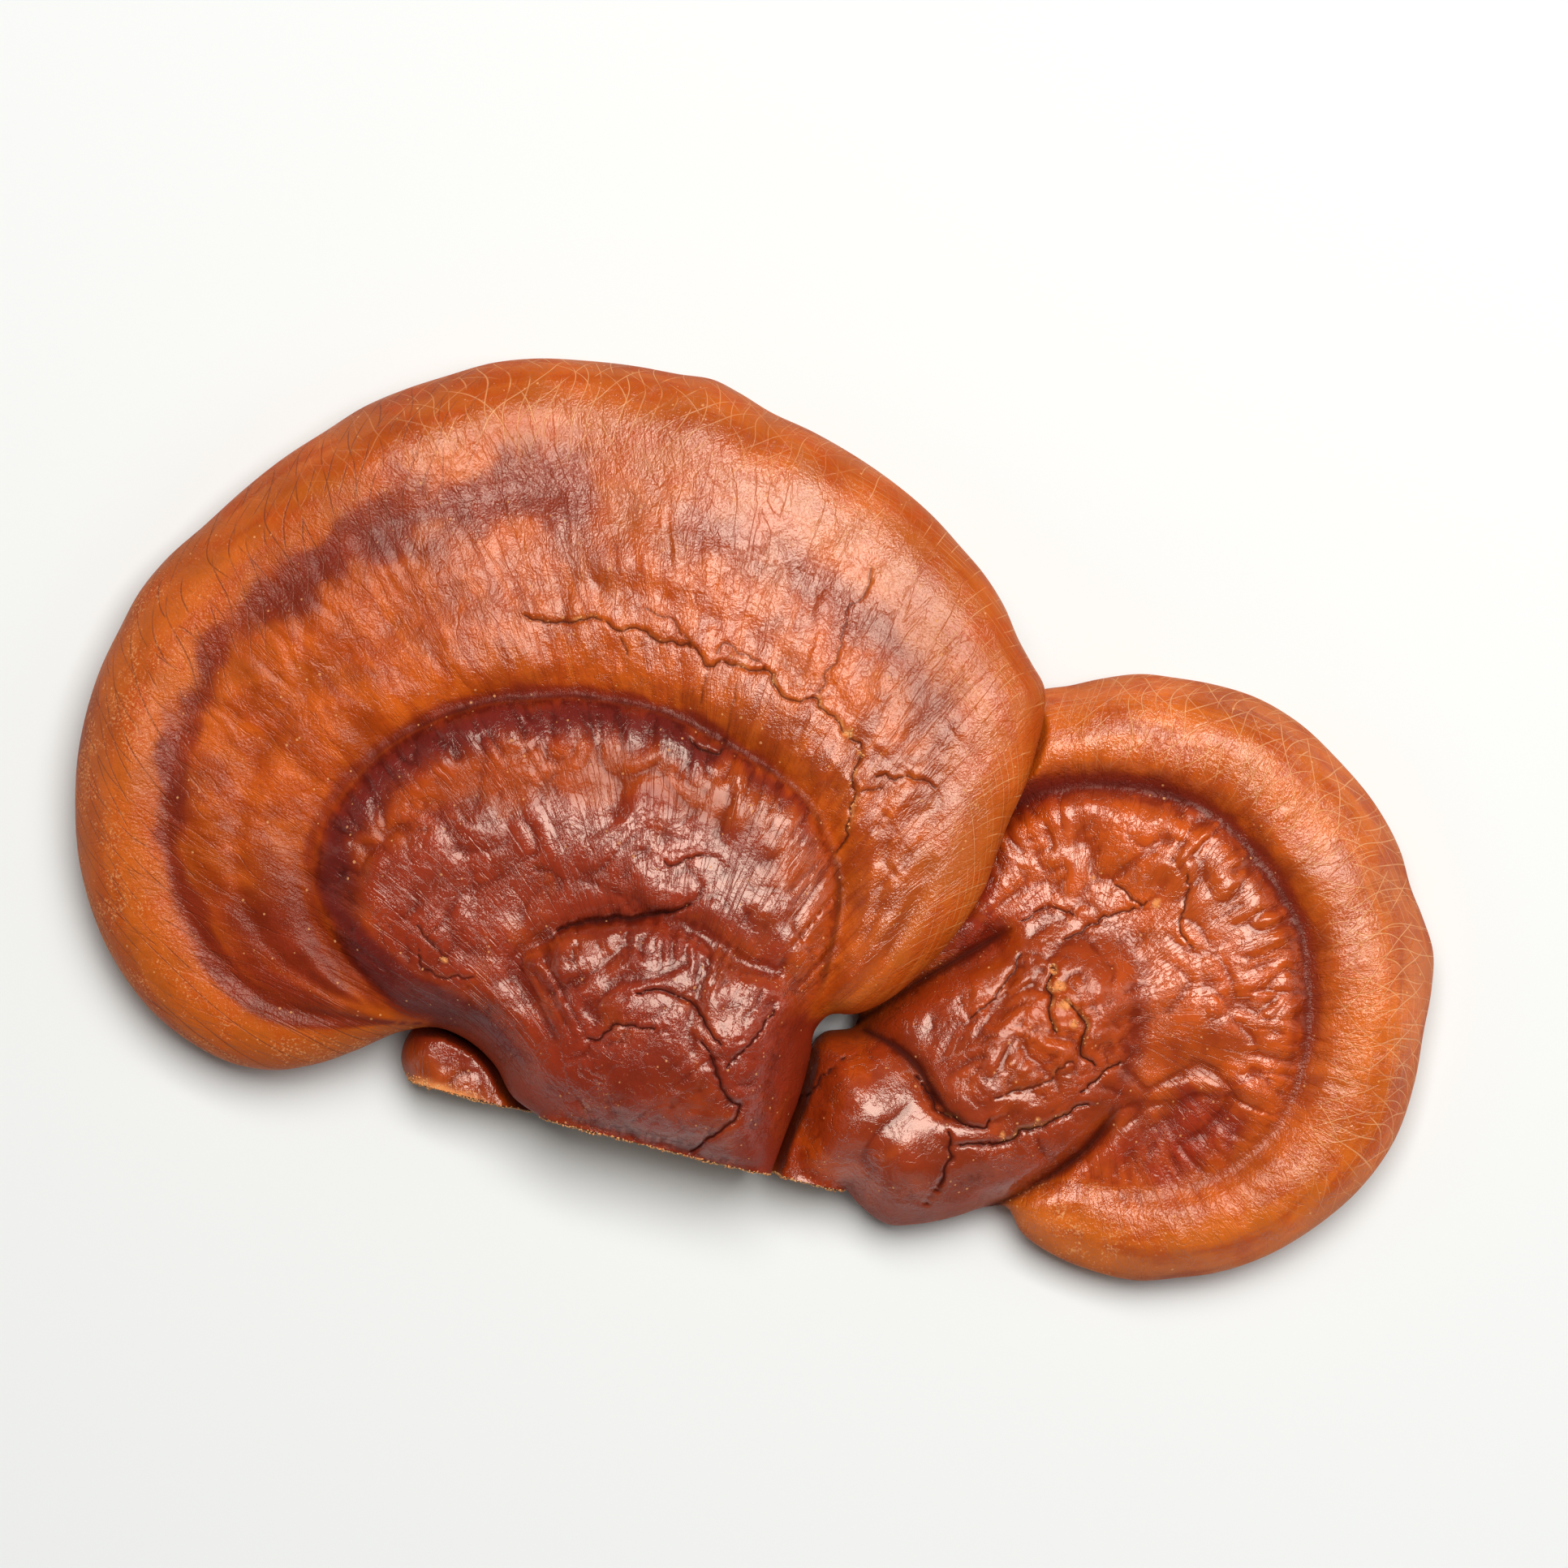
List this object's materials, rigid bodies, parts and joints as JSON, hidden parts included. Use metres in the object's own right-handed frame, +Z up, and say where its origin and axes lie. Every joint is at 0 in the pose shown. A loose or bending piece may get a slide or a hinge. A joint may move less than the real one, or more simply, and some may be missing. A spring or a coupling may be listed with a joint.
{
  "type": "reishi mushroom",
  "caption": "Dried bracket fungus: lacquered, ring-marked caps grown together at a cut base, lying on its pore side.",
  "frame": {"origin": "middle of the footprint, on the surface the cluster lies on", "axes": "+X from the large cap towards the small cap, +Y away from the cut, +Z up out of the lacquered side"},
  "size_m": [0.2516, 0.171, 0.0375],
  "materials": {
    "large_cap": "gloss",
    "small_cap": "gloss",
    "side_lobe": "satin"
  },
  "bodies": {
    "root": {"large_cap": "large_cap", "small_cap": "small_cap", "side_lobe": "side_lobe"}
  },
  "joints": []
}
